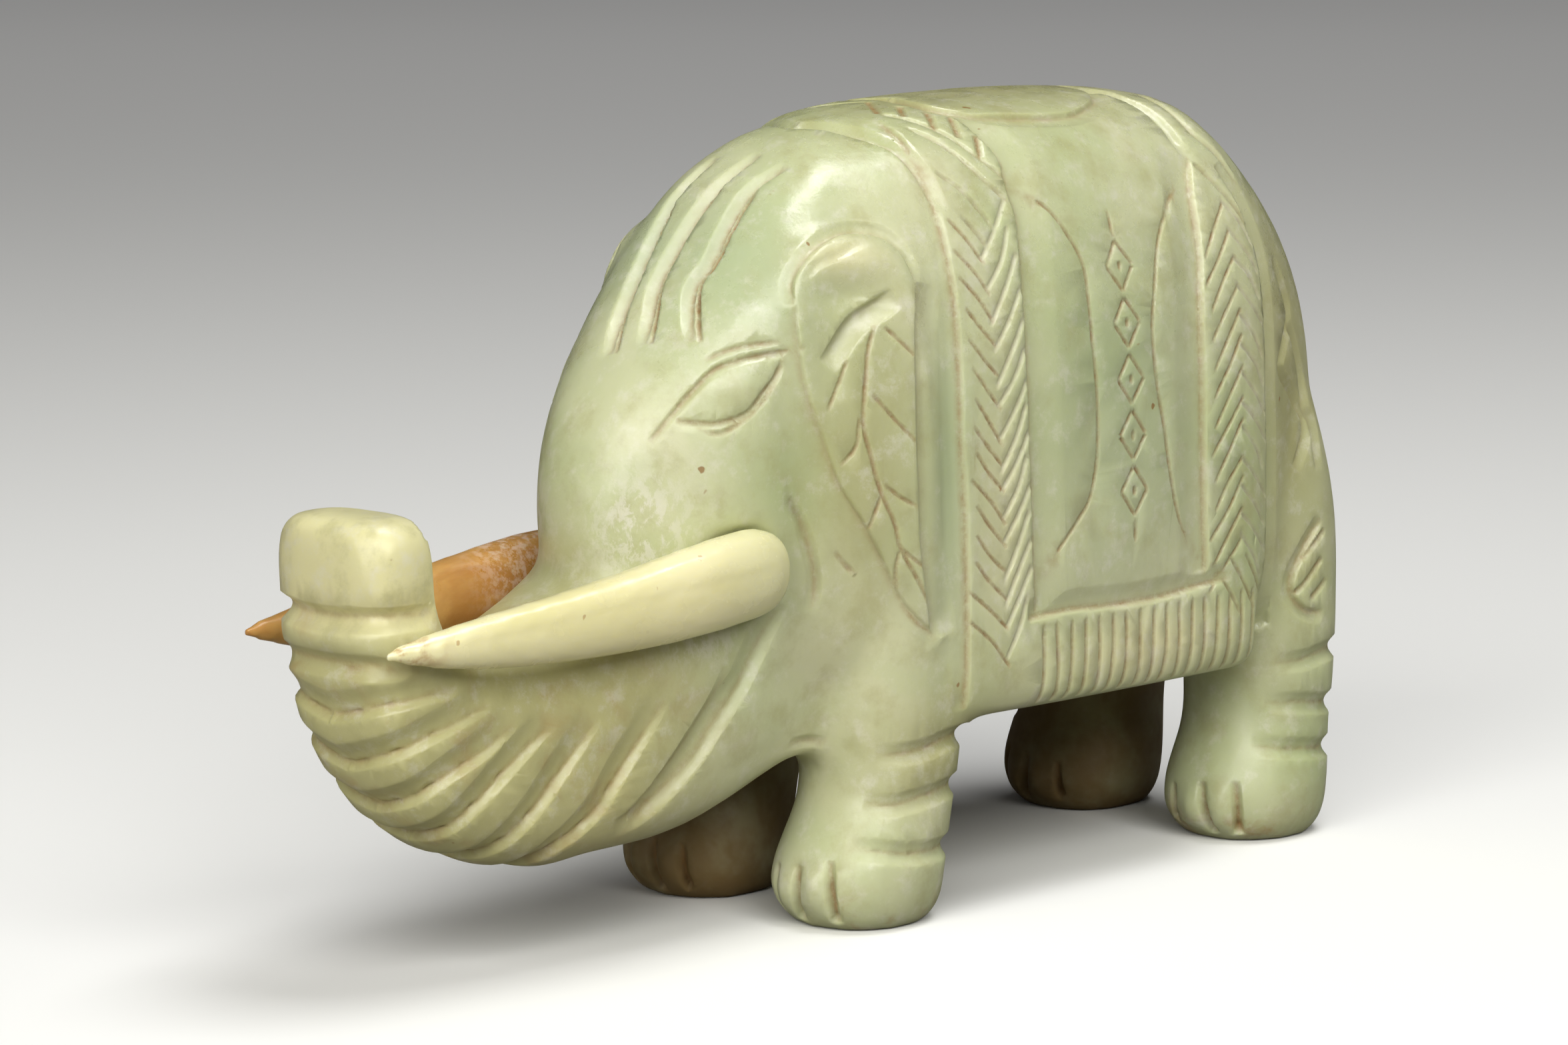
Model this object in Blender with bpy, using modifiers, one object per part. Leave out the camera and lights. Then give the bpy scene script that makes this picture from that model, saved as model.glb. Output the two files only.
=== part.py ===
"""A small carved jade elephant with a saddle cloth, and its two inset tusks.

Metres, +Z up. The elephant faces -X and its left flank is at -Y. The origin is on the ground,
under the middle of the figure.
"""

from math import cos, pi, sin

import bmesh
import bpy
from mathutils import Matrix, Vector

# ---- Overall figure ----
overall_length = 0.0930       # front of the curled trunk to the tail
back_height = 0.0560          # ground to the bare back, under the cloth
flank_width = 0.0276          # across the bare flanks
belly_height = 0.0146         # ground to the belly
flank_line = 0.0300           # height at which the flanks are widest
torso_length = 0.0600         # neck to rump
tail_stand = 0.0008           # how far the tail stands off the rump
tail_depth = 0.0030           # how far the tail reaches into it
tail_sink = 0.0016            # rump to the middle of the tail
tail_root_slope = 0.0080      # how fast the root of the tail runs into the back

# ---- Head and trunk ----
face_depth = 0.0100           # how far the face stands in front of the neck
head_width = 0.0192           # across the cheeks
crown_height = 0.0554         # ground to the top of the head
trunk_width = 0.0112          # across the upright end of the trunk
trunk_clearance = 0.0072      # ground to the lowest point of the trunk
trunk_tip_height = 0.0322     # ground to the top of the trunk's end

# ---- Ears ----
ear_relief = 0.0010           # how far an ear stands off the head
ear_top = 0.0482              # ground to its rolled top
ear_tip = 0.0198              # ground to its pointed lower end
ear_front_inset = 0.0021      # neck to the front edge of an ear
ear_length = 0.0118           # front to back

# ---- Legs ----
front_leg_inset = 0.0490      # rump to the middle of a front foot
hind_leg_inset = 0.0070       # rump to the middle of a hind foot
front_track = 0.0148          # between the middles of the front feet
hind_track = 0.0160
front_foot_length = 0.0120
hind_foot_length = 0.0123
foot_width = 0.0114
leg_width = 0.0108
ankle_height = 0.0085         # ground to the narrowest part of the leg
front_leg_lean = 0.0022       # how far the shin stands behind the foot
hind_leg_lean = 0.0014

# ---- Saddle cloth ----
cloth_relief = 0.0004         # how far the cloth stands off the flanks
cloth_front_inset = 0.0450    # rump to the front edge of the cloth
cloth_rear_inset = 0.0128     # rump to its rear edge
hem_height = 0.0136           # ground to the lower edge of its fringe

# ---- Tusks ----
tusk_length = 0.0332          # butt to tip, along X
tusk_depth = 0.0062           # top to bottom near the butt
tusk_thickness = 0.0046       # side to side near the butt
tusk_butt_inset = 0.0012      # neck to the butt
tusk_butt_height = 0.0261     # ground to the middle of the left butt
tusk_butt_spread = 0.0184     # between the middles of the two butts
right_tusk_lower = 0.0020     # the right tusk sits this much lower
right_tusk_splay = 0.0012     # and its tip stands this much further out
tusk_tip_drop = 0.0023        # how far the tip lies below the butt
tenon_diameter = 0.0022
tenon_length = 0.0040         # beyond the tusk's inner side
glue_gap = 0.0003             # between a tusk or its tenon and the stone

# ---- Squareness of the sections: 2 is an ellipse, and higher is squarer ----
back_squareness = 2.8
belly_squareness = 4.5
cloth_squareness = 16.0       # of the cloth's lower half, so that it hangs straight
head_squareness = 2.6
trunk_squareness = 3.2
leg_squareness = 2.3
tusk_squareness = 2.2         # of the tail too

# ---- Mesh ----
ring_points = 40              # round the body, head, trunk and legs
tusk_points = 20              # round a tusk
voxel = 0.0006
kept_share = 0.085            # of the triangles, after the stone is joined
shortest_edge = 0.00003

rump_x = overall_length / 2 - tail_stand
trunk_x = -overall_length / 2
neck_x = rump_x - torso_length
face_x = neck_x - face_depth
cloth_front_x = rump_x - cloth_front_inset
cloth_rear_x = rump_x - cloth_rear_inset
ear_front_x = neck_x + ear_front_inset


def clear_scene():
    for item in list(bpy.data.objects):
        bpy.data.objects.remove(item)


def new_collection(name):
    collection = bpy.data.collections.new(name)
    bpy.context.scene.collection.children.link(collection)
    return collection


def stone_material(name, colour, roughness):
    material = bpy.data.materials.new(name)
    material.use_nodes = True
    shader = material.node_tree.nodes["Principled BSDF"]
    shader.inputs["Base Color"].default_value = (*colour, 1.0)
    shader.inputs["Roughness"].default_value = roughness
    shader.inputs["Metallic"].default_value = 0.0
    return material


def smooth_stations(stations, steps_between=4):
    """Stations in between the given ones, on a Catmull-Rom curve through every column."""
    ends = [stations[0], *stations, stations[-1]]
    result = []
    for before, start, end, after in zip(ends, ends[1:], ends[2:], ends[3:]):
        for step in range(steps_between):
            t = step / steps_between
            result.append([
                0.5 * (2 * b + (c - a) * t + (2 * a - 5 * b + 4 * c - d) * t**2
                       + (3 * b - a - 3 * c + d) * t**3)
                for a, b, c, d in zip(before, start, end, after)
            ])
    result.append(list(stations[-1]))
    return result


def rounded(value, power):
    """A cosine or sine bent so that a circle becomes a superellipse."""
    return abs(value) ** (2 / power) * (1 if value >= 0 else -1)


def superellipse(centre, across, upward, half_width, top, bottom, top_power, bottom_power,
                 points=ring_points):
    """A closed ring: half_width each side, top above the centre and bottom below it."""
    ring = []
    for index in range(points):
        angle = 2 * pi * index / points
        power, reach = (top_power, top) if sin(angle) >= 0 else (bottom_power, bottom)
        sideways = across * (half_width * rounded(cos(angle), power))
        ring.append(centre + sideways + upward * (reach * rounded(sin(angle), power)))
    return ring


def loft(bm, rings):
    """A closed body through rings that have the same number of points."""
    loops = [[bm.verts.new(point) for point in ring] for ring in rings]
    faces = [bm.faces.new(loops[0]), bm.faces.new(loops[-1])]
    for near, far in zip(loops, loops[1:]):
        for index in range(len(near)):
            following = (index + 1) % len(near)
            faces.append(bm.faces.new((near[index], near[following], far[following], far[index])))
    bmesh.ops.recalc_face_normals(bm, faces=faces)


# ---- Torso and cloth ----
# Each station: share of the way from neck to rump, share of the flank's half width,
# belly height above the flank's own belly, share of the back's height.
torso_stations = [
    (0.00, 0.50, 0.0090, 0.76),
    (0.08, 0.72, 0.0030, 0.890),
    (0.18, 0.88, 0.0006, 0.962),
    (0.30, 0.95, 0.0000, 0.992),
    (0.52, 1.00, 0.0000, 1.000),
    (0.68, 1.01, 0.0000, 0.995),
    (0.785, 1.00, 0.0000, 0.980),
    (0.84, 0.94, 0.0000, 0.948),
    (0.92, 0.815, 0.0002, 0.872),
    (0.963, 0.715, 0.0006, 0.800),
    (0.99, 0.59, 0.0014, 0.710),
    (1.00, 0.44, 0.0030, 0.630),
]


def torso_ring(share, width_share, belly_rise, back_share, grow=0.0, squareness=belly_squareness):
    belly = belly_height + belly_rise
    back = back_height * back_share
    middle = min(flank_line, (belly + back) / 2)
    return superellipse(
        Vector((neck_x + share * torso_length, 0, middle)), Vector((0, 1, 0)), Vector((0, 0, 1)),
        flank_width / 2 * width_share + grow, back - middle + grow, middle - belly,
        back_squareness, squareness)


def add_torso(bm, grow=0.0):
    loft(bm, [torso_ring(*station, grow) for station in smooth_stations(torso_stations)])


def add_cloth(bm):
    rings = []
    for station in smooth_stations(smooth_stations(torso_stations)):
        if cloth_front_x <= neck_x + station[0] * torso_length <= cloth_rear_x:
            rings.append(torso_ring(*station, cloth_relief, cloth_squareness))
            hem_drop = hem_height - min(point.z for point in rings[-1])
            for point in rings[-1]:
                if point.z < flank_line:
                    point.z += hem_drop * (flank_line - point.z) / (flank_line - belly_height)
    loft(bm, rings)


# ---- Head ----
# Each station: share of the crown's height, share of the face's depth, share of the head's half
# width. The face narrows towards the front.
nape_share = 0.3              # share of the torso that the head reaches back over
face_taper = 0.30             # share of its width that the head loses towards the front
head_stations = [
    (0.22, 0.30, 0.78),
    (0.34, 0.72, 0.88),
    (0.46, 0.96, 0.95),
    (0.56, 1.01, 0.97),
    (0.64, 0.88, 0.97),
    (0.71, 0.60, 0.965),
    (0.79, 0.22, 0.945),
    (0.85, -0.08, 0.895),
    (0.912, -0.42, 0.79),
    (0.950, -0.72, 0.65),
    (0.977, -1.00, 0.48),
    (1.00, -1.43, 0.22),
]


def add_head(bm, grow=0.0):
    rings = []
    nape_x = neck_x + nape_share * torso_length
    for height_share, depth_share, width_share in smooth_stations(head_stations):
        front_x = neck_x - depth_share * face_depth
        middle = Vector(((front_x + nape_x) / 2, 0, crown_height * height_share))
        half_length = (nape_x - front_x) / 2
        ring = superellipse(middle, Vector((0, 1, 0)), Vector((-1, 0, 0)),
                            head_width / 2 * width_share + grow, half_length + grow, half_length + grow,
                            head_squareness, head_squareness)
        for point in ring:
            forward = max(0.0, (neck_x - point.x) / (neck_x - face_x))
            point.y *= 1 - face_taper * min(forward, 1.0) ** 1.5
        rings.append(ring)
    loft(bm, rings)


# ---- Trunk ----
# Each station: how far forward and how high the inner edge is, the same for the outer edge, and
# the share of the trunk's half width. Forward is a share of the way from the face to the trunk's
# front, and height a share of the way from the trunk's lowest point to its tip.
trunk_stations = [
    (-0.45, 0.80, -0.86, 0.20, 1.48),
    (-0.14, 0.78, -0.34, 0.03, 1.42),
    (0.06, 0.70, 0.02, 0.00, 1.30),
    (0.24, 0.64, 0.33, 0.01, 1.18),
    (0.40, 0.62, 0.645, 0.115, 1.10),
    (0.52, 0.62, 0.845, 0.295, 1.04),
    (0.60, 0.64, 0.955, 0.49, 1.01),
    (0.65, 0.69, 0.99, 0.66, 1.00),
    (0.69, 0.77, 1.00, 0.80, 1.00),
    (0.70, 0.90, 1.00, 0.93, 1.00),
    (0.72, 0.975, 0.98, 0.985, 0.86),
    (0.76, 1.00, 0.94, 1.00, 0.60),
]


def trunk_point(forward, height):
    return Vector((face_x + forward * (trunk_x - face_x), 0,
                   trunk_clearance + height * (trunk_tip_height - trunk_clearance)))


def add_trunk(bm):
    rings = []
    for forward_in, height_in, forward_out, height_out, width_share in smooth_stations(trunk_stations):
        inner = trunk_point(forward_in, height_in)
        outer = trunk_point(forward_out, height_out)
        reach = (outer - inner).length / 2
        rings.append(superellipse((inner + outer) / 2, Vector((0, 1, 0)), (outer - inner).normalized(),
                                  trunk_width / 2 * width_share, reach, reach,
                                  trunk_squareness, trunk_squareness))
    loft(bm, rings)


# ---- Ears ----
# The outline runs round from the front of the root: shares of the ear's length and height.
ear_outline = [
    (0.00, 0.86), (0.12, 0.96), (0.38, 1.00), (0.68, 0.97), (0.84, 0.88), (0.88, 0.70), (0.91, 0.40),
    (0.96, 0.12), (1.00, 0.00), (0.76, 0.12), (0.44, 0.28), (0.20, 0.45), (0.04, 0.66),
]


def ear_prism(bm):
    """The outline of an ear, right through the figure from side to side."""
    outline = [(ear_front_x + along * ear_length, ear_tip + up * (ear_top - ear_tip))
               for along, up in smooth_stations([*ear_outline, ear_outline[0]])[:-1]]
    loft(bm, [[Vector((x, side * flank_width, z)) for x, z in outline] for side in (-1, 1)])


def add_ears(bm, cutters):
    """Both ears: what the ear's outline takes out of a slightly larger head and torso."""
    outline = new_object("ear_outline", cutters, ear_prism)
    hide_cutter(outline)
    for add_form in (add_head, add_torso):
        relief = new_object("ear_relief", cutters, lambda blank: add_form(blank, ear_relief))
        hide_cutter(relief)
        add_boolean(relief, outline, "INTERSECT")
        graph = bpy.context.evaluated_depsgraph_get()
        bm.from_mesh(bpy.data.meshes.new_from_object(relief.evaluated_get(graph)))
        bpy.data.objects.remove(relief)


# ---- Legs ----
# Each station: height, how far the section's middle lies behind the foot's, and the shares of the
# foot's length and width. Heights past the ankle follow the leg up into the torso.
def leg_stations(foot_length, lean):
    leg = leg_width / foot_width
    shin = leg_width / foot_length
    return [
        (-0.0020, 0.0003, 0.66, 0.66),
        (0.0002, 0.0002, 0.80, 0.80),
        (0.0014, 0.0000, 0.95, 0.95),
        (0.0036, 0.0000, 1.00, 1.00),
        (0.66 * ankle_height, lean * 0.3, 0.96, 0.97),
        (ankle_height, lean * 0.8, shin * 0.99, leg * 0.97),
        (belly_height * 0.8, lean, shin, leg),
        (belly_height + 0.0030, lean, shin * 1.06, leg),
        (belly_height + 0.0100, lean, shin * 1.04, leg * 0.94),
        (belly_height + 0.0170, lean * 0.5, shin * 0.86, leg * 0.76),
        (belly_height + 0.0240, 0.0, shin * 0.50, leg * 0.44),
    ]


def add_leg(bm, foot_x, foot_y, foot_length, lean):
    rings = []
    for height, back, length_share, width_share in smooth_stations(leg_stations(foot_length, lean)):
        half = foot_length / 2 * length_share
        middle = Vector((foot_x + back, foot_y, height))
        rings.append(superellipse(middle, Vector((0, 1, 0)), Vector((-1, 0, 0)),
                                  foot_width / 2 * width_share, half, half,
                                  leg_squareness, leg_squareness))
    loft(bm, rings)


# ---- Tail ----
# Each station: share of the tail's way down from the back, sideways shift as a share of the hind
# track's half, and the tail's half width. It swings to the left and ends in a tuft.
tail_reach = 0.82             # share of the back's height that this way covers
tail_root_share = 0.42        # share of it along which the tail leaves the back
tail_stations = [
    (0.22, 0.00, 0.0016),
    (0.38, -0.10, 0.0015),
    (0.52, -0.42, 0.0014),
    (0.66, -0.60, 0.0016),
    (0.78, -0.74, 0.0026),
    (0.88, -0.80, 0.0020),
    (0.95, -0.86, 0.0006),
]


def add_tail(bm):
    rings = []
    for down, swing, half_width in smooth_stations(tail_stations):
        height = back_height * (1 - tail_reach * down)
        behind = rump_x - tail_sink - tail_root_slope * max(0.0, tail_root_share - down) ** 1.2
        rings.append(superellipse(Vector((behind, swing * hind_track / 2, height)), Vector((0, 1, 0)),
                                  Vector((1, 0, 0)), half_width, tail_sink + tail_stand, tail_depth,
                                  tusk_squareness, tusk_squareness))
    loft(bm, rings)


# ---- Tusks ----
# Each station: share of the tusk's length from the butt, share of the way from the butt's side
# position to the tip's, share of the drop, and shares of the depth and the thickness.
tusk_stations = [
    (0.000, 0.00, 0.00, 0.30, 0.30),
    (0.012, 0.00, 0.00, 0.66, 0.66),
    (0.050, 0.00, 0.03, 0.92, 0.92),
    (0.110, 0.00, 0.09, 1.00, 1.00),
    (0.260, 0.06, 0.35, 0.98, 0.98),
    (0.460, 0.28, 0.70, 0.84, 0.88),
    (0.680, 0.56, 0.93, 0.66, 0.72),
    (0.840, 0.78, 1.00, 0.46, 0.54),
    (0.950, 0.93, 1.00, 0.24, 0.30),
    (1.000, 1.00, 1.00, 0.09, 0.12),
]
butt_x = neck_x + tusk_butt_inset
tip_radius = 0.0003
tip_side = trunk_width / 2 + glue_gap + tip_radius


def tusk_centre(length_share, inward_share, drop_share, side):
    butt_side = tusk_butt_spread / 2
    splay = right_tusk_splay if side > 0 else 0.0
    lower = right_tusk_lower * (1 - length_share) if side > 0 else 0.0
    return Vector((butt_x - tusk_length * length_share,
                   side * (butt_side + (tip_side + splay - butt_side) * inward_share),
                   tusk_butt_height - lower - tusk_tip_drop * drop_share))


def tusk_body(bm, side, grow):
    """The tusk itself, or with grow the space that it needs."""
    rings = []
    for along, inward, drop, depth_share, thickness_share in smooth_stations(tusk_stations, 3):
        half_depth = tusk_depth / 2 * depth_share + grow
        centre = tusk_centre(along, inward, drop, side)
        if grow and along in (tusk_stations[0][0], tusk_stations[-1][0]):
            centre.x += grow if along == tusk_stations[0][0] else -grow
        rings.append(superellipse(centre, Vector((0, side, 0)), Vector((0, 0, 1)),
                                  tusk_thickness / 2 * thickness_share + grow, half_depth, half_depth,
                                  tusk_squareness, tusk_squareness, tusk_points))
    loft(bm, rings)


def tenon_body(bm, side, grow):
    """A short round tenon that runs inwards from the widest part of the tusk's butt."""
    length = tusk_thickness / 2 + tenon_length + grow
    root = tusk_centre(0.110, 0.0, 0.09, side)
    middle = root - Vector((0, side * length / 2, 0))
    turn = Matrix.Rotation(pi / 2, 4, "X")
    radius = tenon_diameter / 2 + grow
    bmesh.ops.create_cone(bm, cap_ends=True, segments=24, radius1=radius, radius2=radius, depth=length,
                          matrix=Matrix.Translation(middle) @ turn)


# ---- Objects ----
def new_object(name, collection, *builders):
    bm = bmesh.new()
    for builder in builders:
        builder(bm)
    mesh = bpy.data.meshes.new(name)
    bm.to_mesh(mesh)
    bm.free()
    item = bpy.data.objects.new(name, mesh)
    collection.objects.link(item)
    return item


def hide_cutter(item):
    item.hide_render = True
    item.display_type = "WIRE"


def add_boolean(item, other, operation):
    modifier = item.modifiers.new(other.name, "BOOLEAN")
    modifier.operation = operation
    modifier.object = other


def build_tusk(name, side, parts, cutters, material):
    tusk = new_object(name, parts, lambda bm: tusk_body(bm, side, 0.0))
    tenon = new_object(name + "_tenon", cutters, lambda bm: tenon_body(bm, side, 0.0))
    hide_cutter(tenon)
    add_boolean(tusk, tenon, "UNION")
    tusk.data.materials.append(material)
    return tusk


def tusk_space(name, side, cutters):
    """The recess for the tusk and the socket for its tenon, both with the glue gap."""
    space = new_object(name, cutters, lambda bm: tusk_body(bm, side, glue_gap))
    socket = new_object(name + "_socket", cutters, lambda bm: tenon_body(bm, side, glue_gap))
    add_boolean(space, socket, "UNION")
    for item in (space, socket):
        hide_cutter(item)
    return space


def floor_cutter(cutters):
    """Everything under the ground, so that the feet get flat soles."""
    side = 2 * overall_length
    place = Matrix.Translation((0, 0, -side / 2)) @ Matrix.Scale(side, 4)
    ground = new_object("ground", cutters, lambda bm: bmesh.ops.create_cube(bm, size=1, matrix=place))
    hide_cutter(ground)
    return ground


def build_elephant(parts, cutters, material):
    legs = []
    for side in (-1, 1):
        front = (rump_x - front_leg_inset, side * front_track / 2, front_foot_length, front_leg_lean)
        hind = (rump_x - hind_leg_inset, side * hind_track / 2, hind_foot_length, hind_leg_lean)
        legs += [front, hind]
    elephant = new_object(
        "carved_elephant", parts, add_torso, add_cloth, add_head, add_trunk, add_tail,
        lambda bm: add_ears(bm, cutters),
        *[lambda bm, leg=leg: add_leg(bm, *leg) for leg in legs])
    remesh = elephant.modifiers.new("one_stone", "REMESH")
    remesh.mode = "VOXEL"
    remesh.voxel_size = voxel
    soften = elephant.modifiers.new("soften", "SMOOTH")
    soften.factor = 0.5
    soften.iterations = 3
    thin = elephant.modifiers.new("fewer_triangles", "DECIMATE")
    thin.ratio = kept_share
    add_boolean(elephant, floor_cutter(cutters), "DIFFERENCE")
    for name, side in (("left_tusk_space", -1), ("right_tusk_space", 1)):
        add_boolean(elephant, tusk_space(name, side, cutters), "DIFFERENCE")
    weld = elephant.modifiers.new("short_edges", "WELD")
    weld.merge_threshold = shortest_edge
    elephant.data.materials.append(material)
    return elephant


clear_scene()
parts = new_collection("jade_elephant")
cutters = new_collection("cutters")
jade = stone_material("celadon_jade", (0.50, 0.58, 0.40), 0.28)
pale_jade = stone_material("pale_yellow_jade", (0.72, 0.70, 0.46), 0.26)
russet_jade = stone_material("russet_jade", (0.50, 0.33, 0.15), 0.34)
build_elephant(parts, cutters, jade)
build_tusk("left_tusk", -1, parts, cutters, pale_jade)
build_tusk("right_tusk", 1, parts, cutters, russet_jade)
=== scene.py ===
import math

import bmesh
import bpy
import numpy as np
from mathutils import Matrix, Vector


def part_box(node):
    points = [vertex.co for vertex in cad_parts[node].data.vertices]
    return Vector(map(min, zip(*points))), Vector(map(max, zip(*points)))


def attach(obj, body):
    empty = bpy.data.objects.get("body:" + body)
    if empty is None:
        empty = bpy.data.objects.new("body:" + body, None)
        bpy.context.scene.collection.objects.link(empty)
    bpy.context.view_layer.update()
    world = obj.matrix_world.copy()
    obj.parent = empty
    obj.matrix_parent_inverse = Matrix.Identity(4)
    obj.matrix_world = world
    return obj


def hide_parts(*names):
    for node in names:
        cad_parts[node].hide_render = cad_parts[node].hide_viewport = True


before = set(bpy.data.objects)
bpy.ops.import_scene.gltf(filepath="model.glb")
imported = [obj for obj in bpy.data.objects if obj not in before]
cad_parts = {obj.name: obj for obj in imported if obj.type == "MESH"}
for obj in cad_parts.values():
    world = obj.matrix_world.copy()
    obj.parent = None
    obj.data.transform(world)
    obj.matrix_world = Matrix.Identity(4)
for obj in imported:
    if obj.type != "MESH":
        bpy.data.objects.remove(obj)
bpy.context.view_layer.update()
mm = 0.001
rng = np.random.default_rng(7)
print("frame loaded")


# All carving below is in millimetres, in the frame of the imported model: the elephant faces -X and
# its left flank is at -Y. A path of (x, z) pairs is cut straight into both flanks. A path of
# (x, y, z) points follows the surface, and is repeated on the other side unless both is False.

carving = {
    "pathSpacing": 0.35,
    "weldDistance": 0.01,
    "softenFactor": 0.5,
    "leastFacing": 0.12,  # how much the skin must face a flank to be cut by a flat path
    "skinDepth": 2.0,  # how far the skin may lie above or below a path on the surface
    "outOfReach": 99.0,
    "leastFade": 0.01,
    "fadePower": 0.7,
    "wobbleWidth": 0.3,  # cuts wider than this waver less
    "wobbles": ((0.13, 1.9), (0.10, 4.3)),  # the share and the pace of each
    "grimeWidth": 0.24,
    "swellReach": 2.2,
    "swellFalloff": 1.4,
    "spareShare": 0.02,  # how far a piece may grow past its CAD box, as a share of its size
}


def smoothPath(points):
    points = np.array(points, float)
    ends = np.vstack([2 * points[0] - points[1], points, 2 * points[-1] - points[-2]])
    result = []
    for before, start, end, after in zip(ends, ends[1:], ends[2:], ends[3:]):
        steps = max(2, int(np.linalg.norm(end - start) / carving["pathSpacing"]))
        for t in np.arange(steps) / steps:
            result.append(0.5 * (2 * start + (end - before) * t
                                 + (2 * before - 5 * start + 4 * end - after) * t**2
                                 + (3 * start - before - 3 * end + after) * t**3))
    result.append(points[-1])
    return np.array(result)


def readVectors(items, field):
    values = np.empty(len(items) * 3, np.float32)
    items.foreach_get(field, values)
    return values.reshape(-1, 3).astype(float)


def bakeModifiers(piece):
    graph = bpy.context.evaluated_depsgraph_get()
    baked = bpy.data.meshes.new_from_object(piece.evaluated_get(graph))
    rough = piece.data
    piece.modifiers.clear()
    piece.data = baked
    bpy.data.meshes.remove(rough)


def refinedCopy(name, node, grain):
    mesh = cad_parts[node].data.copy()
    bm = bmesh.new()
    bm.from_mesh(mesh)
    bmesh.ops.remove_doubles(bm, verts=bm.verts, dist=carving["weldDistance"] * mm)
    bm.to_mesh(mesh)
    bm.free()
    piece = bpy.data.objects.new(name, mesh)
    bpy.context.scene.collection.objects.link(piece)
    remesh = piece.modifiers.new("evenGrain", "REMESH")
    remesh.mode = "VOXEL"
    remesh.voxel_size = grain["voxel"] * mm
    soften = piece.modifiers.new("soften", "SMOOTH")
    soften.factor = carving["softenFactor"]
    soften.iterations = grain["softening"]
    finer = piece.modifiers.new("finer", "SUBSURF")
    finer.levels = grain["levels"]
    finer.render_levels = grain["levels"]
    bakeModifiers(piece)
    return piece


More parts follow.
